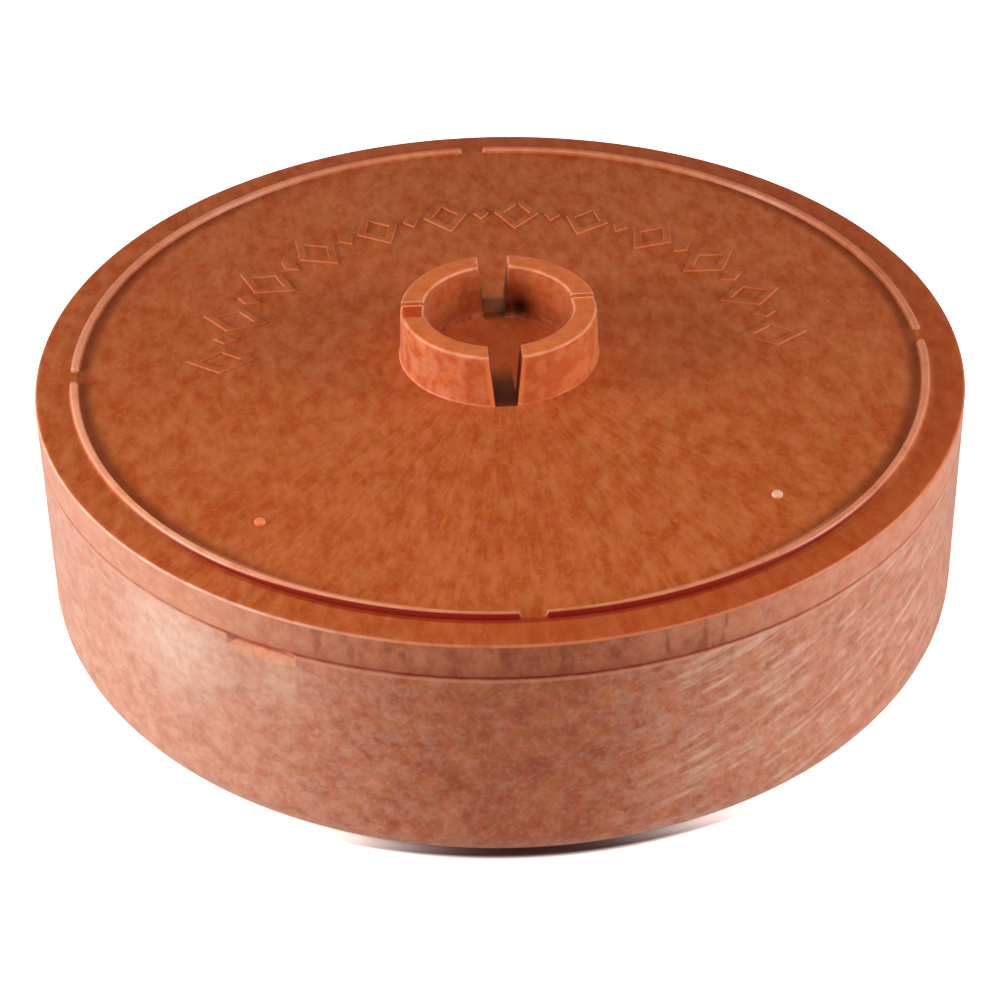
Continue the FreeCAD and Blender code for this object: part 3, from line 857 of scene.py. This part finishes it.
# ---------------------------------------------------------------------------------------------
# The bead. A low raised line near the lid's rim, moulded with it, that keeps a plate stacked on
# top from sliding. It is four equal arcs, with a short gap at the front, back, left and right.
# ---------------------------------------------------------------------------------------------
BEAD_TOP = 1.2 * MM
BEAD_RISE = 1.2 * MM
BEAD_EDGE = 0.45 * MM
BEAD_GAP = 5.7 * MM
BEAD_ARCS = 4
BEAD_POINTS = 160
BEAD_TAPER = 0.8 * MM
RIDGE_EDGE = (1.15 * MM, 0.75 * MM)
SHADE_OFFSET = 0.9 * MM
SHADE_WIDENS = 0.4 * MM
RIDGE_HIGHLIGHT = paint(250, 170, 130)
INNER_SHADOW_BROWN = paint(120, 50, 24)
SHADE_RED = paint(132, 24, 14)


def bead_finish(place, facing):
    """The lid's orange, its ridge painted pale all round as a highlight, but less at the very front and
    at the back.

    The outer side is painted dark red as shade at the front, as is the line beside it. The inner side is
    painted dark brown as shadow, between the front and the sides.
    """
    colour, relief = top_finish(place, facing)
    x, y = place.apart()[:2]
    ahead = y / -BEAD_RADIUS
    radius = from_axis(place)
    broken = place.noise(160.0, detail=3.0).ramp(0.25, 0.6)
    # Painted highlight: the bead's ridge is painted pale, most on the left.
    ridge = abs(radius - BEAD_RADIUS).ramp(*RIDGE_EDGE)
    painted_highlight = ridge * (0.45 + 0.4 * (x / -BEAD_RADIUS).ramp(0.0, 0.7)) * (0.6 + 0.4 * broken)
    painted_highlight = painted_highlight * (0.55 + 0.45 * ahead.ramp(0.998, 0.97)) * (1 - 0.35 * ahead.ramp(0.2, -0.4))
    colour = painted_highlight.between(colour, RIDGE_HIGHLIGHT)
    # Painted shadow: the bead's inner side is painted dark brown between the front and the sides.
    inner = radius.ramp(BEAD_RADIUS - 0.6 * MM, BEAD_RADIUS - 1.0 * MM)
    inner = inner * ahead.ramp(0.1, 0.4) * ahead.ramp(0.9, 0.7)
    colour = (inner * 0.6).between(colour, INNER_SHADOW_BROWN)
    rim_of_shade = BEAD_RADIUS + SHADE_OFFSET - SHADE_WIDENS * ahead.ramp(0.75, 0.97)
    shaded = (radius - rim_of_shade).ramp(-0.15 * MM, 0.15 * MM) * ahead.ramp(0.4, 0.8)
    return (shaded * 0.95).between(colour, SHADE_RED), relief, shaded


bead_plastic = plastic("bead_plastic", bead_finish, roughness=0.36)

start, given = tree_with_inputs("arcs_of_bead", Arcs="Int", Points="Int", Radius="Float", Gap="Float",
                                Taper="Float", Material="Material")
section = start.node("GeometryNodeMeshToCurve", {0: start})
gap_turn = given["Gap"] / given["Radius"]
sweep = FULL_TURN / given["Arcs"] - gap_turn
line = start.node("GeometryNodeMeshLine", {"Count": given["Points"]})
share = start.node("GeometryNodeInputIndex") / (given["Points"] - 1)
crowded = share - 0.9 / FULL_TURN * (share * FULL_TURN).math("SINE", share * FULL_TURN)
bearing = gap_turn * 0.5 + sweep * crowded
around = start.joined(given["Radius"] * bearing.math("COSINE", bearing),
                      given["Radius"] * bearing.math("SINE", bearing), 0.0)
placed = line.node("GeometryNodeSetPosition", {0: line, "Position": around})
arc = placed.node("GeometryNodeMeshToCurve", {0: placed})
to_end = (crowded.math("MINIMUM", crowded, 1 - crowded) * sweep * given["Radius"]) / given["Taper"]
short_of = 1 - to_end.math("MINIMUM", to_end, 1.0)
size = (1 - short_of * short_of).larger(0.02)
size = size.math("SQRT", size)
strand = start.node("GeometryNodeCurveToMesh",
                    {"Curve": arc, "Profile Curve": section, "Scale": size, "Fill Caps": True})
spots = start.node("GeometryNodeMeshLine", {"Count": given["Arcs"], "Offset": (0.0, 0.0, 0.0)})
turn = start.node("GeometryNodeInputIndex") * (FULL_TURN / given["Arcs"])
ring = start.node("GeometryNodeInstanceOnPoints",
                  {"Points": spots, "Instance": strand, "Rotation": start.joined(0.0, 0.0, turn)})
bead_tree = end_tree(ring, given["Material"])

points = rounded_outline([
    (-BEAD_FOOT / 2, -TUCK, 0),
    (-BEAD_FOOT / 2, 0, 0),
    (-BEAD_TOP / 2, BEAD_RISE, BEAD_EDGE),
    (BEAD_TOP / 2, BEAD_RISE, BEAD_EDGE),
    (BEAD_FOOT / 2, 0, 0),
    (BEAD_FOOT / 2, -TUCK, 0),
], arc_steps=4)
bead_section = bpy.data.meshes.new("bead_section")
bead_section.from_pydata([(p.x, -p.y, 0) for p in points],
                         [(i, (i + 1) % len(points)) for i in range(len(points))], [])
bead = grown("bead", bead_section, bead_tree, Arcs=BEAD_ARCS, Points=BEAD_POINTS, Radius=BEAD_RADIUS,
             Gap=BEAD_GAP, Taper=BEAD_TAPER, Material=bead_plastic)
bead.data.transform(Matrix.Translation((0, 0, crown(BEAD_RADIUS))))
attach(bead, "lid")
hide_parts("lid")

# ---------------------------------------------------------------------------------------------
# The raised ornament. Twelve open lozenges on an arc behind the grip, with a small diamond in each
# space between two, and two round pips in front of the grip. All are engraved in the mould.
# ---------------------------------------------------------------------------------------------
RELIEF = 0.5 * MM
ORNAMENT_EDGE = 0.22 * MM
LOZENGE_CIRCLE = 70.7 * MM
LOZENGE_LENGTH = 17.4 * MM
LOZENGE_WIDTH = 12.0 * MM
LOZENGE_OPEN = 0.6
LOZENGE_COUNT = 12
LOZENGE_SPAN = math.radians(175)
DIAMOND_LENGTH = 6.4 * MM
DIAMOND_WIDTH = 4.2 * MM
PIP_RADIUS = 1.35 * MM
PIP_RISE = 0.8 * MM
PIP_CIRCLE = 90.8 * MM
PIP_SPAN = math.radians(2 * 42.4)
PIPS_FROM = (84 * MM, 86 * MM)
BETWEEN_PIPS = (-10 * MM, 10 * MM)
ORNAMENT_HIGHLIGHT_PALE = paint(238, 156, 116)
LEFT_PIP_ORANGE = paint(246, 146, 90)
RIGHT_PIP_PALE = paint(250, 196, 166)


def ornament_finish(place, facing):
    """The lid's orange, with a painted highlight where an edge turns down, and painted paler all over
    the pips.
    """
    colour, relief = top_finish(place, facing)
    # Painted highlight on the raised edges that turn down.
    turned_down = facing.apart()[2].ramp(0.96, 0.8)
    colour = (turned_down * 0.3).between(colour, ORNAMENT_HIGHLIGHT_PALE)
    pip = from_axis(place).ramp(*PIPS_FROM)
    bright = place.apart()[0].ramp(*BETWEEN_PIPS).between(LEFT_PIP_ORANGE, RIGHT_PIP_PALE)
    return (pip * 0.75).between(colour, bright), relief, turned_down


ornament_plastic = plastic("ornament_plastic", ornament_finish)

start, given = tree_with_inputs("set_round_an_arc", Count="Int", Circle="Float", Height="Float",
                                Tilt="Float", Middle="Float", Span="Float", Material="Material")
line = start.node("GeometryNodeMeshLine", {"Count": given["Count"], "Offset": (0.0, 0.0, 0.0)})
share = start.node("GeometryNodeInputIndex") / (given["Count"] - 1)
bearing = given["Middle"] + given["Span"] * (share - 0.5)
around = start.joined(given["Circle"] * bearing.math("COSINE", bearing),
                      given["Circle"] * bearing.math("SINE", bearing), given["Height"])
spots = line.node("GeometryNodeSetPosition", {0: line, "Position": around})
turn = start.joined(0.0, given["Tilt"], bearing)
motifs = start.node("GeometryNodeInstanceOnPoints",
                    {"Points": spots, "Instance": start, "Rotation": turn})
arc_tree = end_tree(motifs, given["Material"])


def raised(name, outlines, **values):
    """A flat raised motif with rounded top edges, set round an arc of the dome."""
    shape = bmesh.new()
    loops = [[shape.verts.new((x, y, -TUCK)) for x, y in outline] for outline in outlines]
    for loop in loops:
        for i in range(len(loop)):
            shape.edges.new((loop[i], loop[(i + 1) % len(loop)]))
    if len(loops) == 1:
        shape.faces.new(loops[0])
    else:
        for i in range(len(loops[0])):
            j = (i + 1) % len(loops[0])
            shape.faces.new((loops[0][i], loops[0][j], loops[1][j], loops[1][i]))
    base = list(shape.faces)
    top = bmesh.ops.extrude_face_region(shape, geom=base, use_keep_orig=True)["geom"]
    lifted = [item for item in top if isinstance(item, bmesh.types.BMVert)]
    bmesh.ops.translate(shape, verts=lifted, vec=(0, 0, TUCK + RELIEF))
    bmesh.ops.recalc_face_normals(shape, faces=shape.faces)
    rim = [edge for edge in shape.edges
           if set(edge.verts) <= set(lifted) and edge.calc_face_angle(0) > 1]
    bmesh.ops.bevel(shape, geom=rim, offset=ORNAMENT_EDGE, segments=3, profile=0.5, affect="EDGES")
    mesh = bpy.data.meshes.new(name + "_motif")
    shape.to_mesh(mesh)
    shape.free()
    piece = grown(name, mesh, arc_tree, Material=ornament_plastic, **values)
    sharpen(piece)
    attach(piece, "lid")
    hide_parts("lid")


def lozenge(length, width):
    """A lozenge's four corners, with its length along X."""
    return [(length / 2, 0), (0, width / 2), (-length / 2, 0), (0, -width / 2)]


behind = {"Circle": LOZENGE_CIRCLE, "Height": crown(LOZENGE_CIRCLE), "Middle": math.pi / 2,
          "Tilt": math.atan(2 * CROWN_RISE * LOZENGE_CIRCLE / OUTER ** 2)}
raised("lozenges", [lozenge(LOZENGE_LENGTH, LOZENGE_WIDTH),
                    lozenge(LOZENGE_LENGTH * LOZENGE_OPEN, LOZENGE_WIDTH * LOZENGE_OPEN)],
       Count=LOZENGE_COUNT, Span=LOZENGE_SPAN, **behind)
raised("diamonds", [lozenge(DIAMOND_LENGTH, DIAMOND_WIDTH)], Count=LOZENGE_COUNT - 1,
       Span=LOZENGE_SPAN * (LOZENGE_COUNT - 2) / (LOZENGE_COUNT - 1), **behind)

pip_shape = turned("pip_shape", [
    (0, -TUCK, 0),
    (PIP_RADIUS, -TUCK, 0),
    (PIP_RADIUS, PIP_RISE, 0.5 * MM),
    (0, PIP_RISE, 0),
], ornament_plastic, sides=24)
pip_mesh = pip_shape.data
bpy.data.objects.remove(pip_shape)
pips = grown("pips", pip_mesh, arc_tree, Count=2, Circle=PIP_CIRCLE, Height=crown(PIP_CIRCLE), Tilt=0.0,
             Middle=-math.pi / 2, Span=PIP_SPAN, Material=ornament_plastic)
sharpen(pips)
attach(pips, "lid")
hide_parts("lid")

# ---------------------------------------------------------------------------------------------
# The setting: a white table that keeps a soft shadow under the tub, with a painted shadow at its
# front foot, a low lamp on each side and one above, and the camera.
# ---------------------------------------------------------------------------------------------
FLOOR_HALF = 0.5
WHITE = (1.0, 1.0, 1.0, 1.0)
LIT_FLOOR = (0.75, 0.75, 0.75, 1.0)
BRIGHT_FLOOR = (3.0, 3.0, 3.0, 1.0)
CONTACT_SHADE = (0.16, 0.09, 0.08, 1.0)
SHADE_EDGE = (OUTER - 4 * MM, OUTER - 1.5 * MM)
SHADE_FRONT = (-113 * MM, -100 * MM)
SKY_LIGHT = 0.14


def lines_of_sight(tree):
    """Two masks: of what the camera sees straight, and of what it sees mirrored or through glass."""
    straight = Wire(tree).node("ShaderNodeLightPath", output="Is Camera Ray")
    return straight, straight.also("Is Glossy Ray").larger(straight.also("Is Transmission Ray"))


floor_mesh = bpy.data.meshes.new("floor")
corners = [(x * FLOOR_HALF, y * FLOOR_HALF, 0) for x, y in ((-1, -1), (1, -1), (1, 1), (-1, 1))]
floor_mesh.from_pydata(corners, [], [(0, 1, 2, 3)])
floor = linked("floor", floor_mesh)
floor_paint = bpy.data.materials.new("floor_paint")
floor_paint.use_nodes = True
floor_paint.node_tree.nodes.clear()
straight, mirrored = lines_of_sight(floor_paint.node_tree)
place = straight.node("ShaderNodeTexCoord", output="Object")
# Painted shadow: seen straight, the floor is painted dark close under the tub's front.
beside = from_axis(place).ramp(*SHADE_EDGE).larger(place.apart()[1].ramp(*SHADE_FRONT))
white = straight.between(mirrored.between(LIT_FLOOR, WHITE), beside.between(CONTACT_SHADE, BRIGHT_FLOOR))
matt = white.node("ShaderNodeBsdfDiffuse", {"Color": white})
matt.node("ShaderNodeOutputMaterial", {"Surface": matt})
floor_mesh.materials.append(floor_paint)

world = bpy.data.worlds.new("studio")
bpy.context.scene.world = world
world.use_nodes = True
world.node_tree.nodes.clear()
straight, mirrored = lines_of_sight(world.node_tree)
level = SKY_LIGHT + (1 - SKY_LIGHT) * straight.larger(mirrored)
sky = level.node("ShaderNodeBackground", {"Color": WHITE, "Strength": level})
sky.node("ShaderNodeOutputWorld", {"Surface": sky})

LAMPS_AIM = Vector((0, 0, 0.04))
LAMPS = {
    # name: (distance, bearing from +X and height in degrees, side length, watts)
    "left_lamp": (0.9, 189, 17, 0.30, 6.5),
    "right_lamp": (0.9, -16, 17, 0.30, 5.2),
    "top_lamp": (0.36, -100, 62, 0.20, 0.48),
}
for name, (distance, bearing, height, side, power) in LAMPS.items():
    light = bpy.data.lights.new(name, "AREA")
    light.shape = "SQUARE"
    light.size = side
    light.energy = power
    lamp = linked(name, light)
    bearing, height = math.radians(bearing), math.radians(height)
    out = math.cos(height)
    toward = Vector((math.cos(bearing) * out, math.sin(bearing) * out, math.sin(height)))
    lamp.location = toward * distance + LAMPS_AIM
    lamp.rotation_mode = "QUATERNION"
    lamp.rotation_quaternion = toward.to_track_quat("Z", "Y")

CAMERA_PLACE = (-0.04035, -0.63855, 0.4795)
CAMERA_HEADING = math.radians(-3.576)
CAMERA_PITCH = math.radians(54.434)
CAMERA_ROLL = math.radians(-0.957)
CAMERA_LENS = 107.69
lens = bpy.data.cameras.new("camera")
lens.lens = CAMERA_LENS
lens.sensor_width = 36.0
lens.clip_start = 0.05
lens.clip_end = 20.0
camera = linked("camera", lens)
heading = Matrix.Rotation(CAMERA_HEADING, 4, "Z")
pitch = Matrix.Rotation(CAMERA_PITCH, 4, "X")
roll = Matrix.Rotation(CAMERA_ROLL, 4, "Z")
camera.matrix_world = Matrix.Translation(CAMERA_PLACE) @ heading @ pitch @ roll
bpy.context.scene.camera = camera
bpy.context.scene.view_settings.view_transform = "Standard"
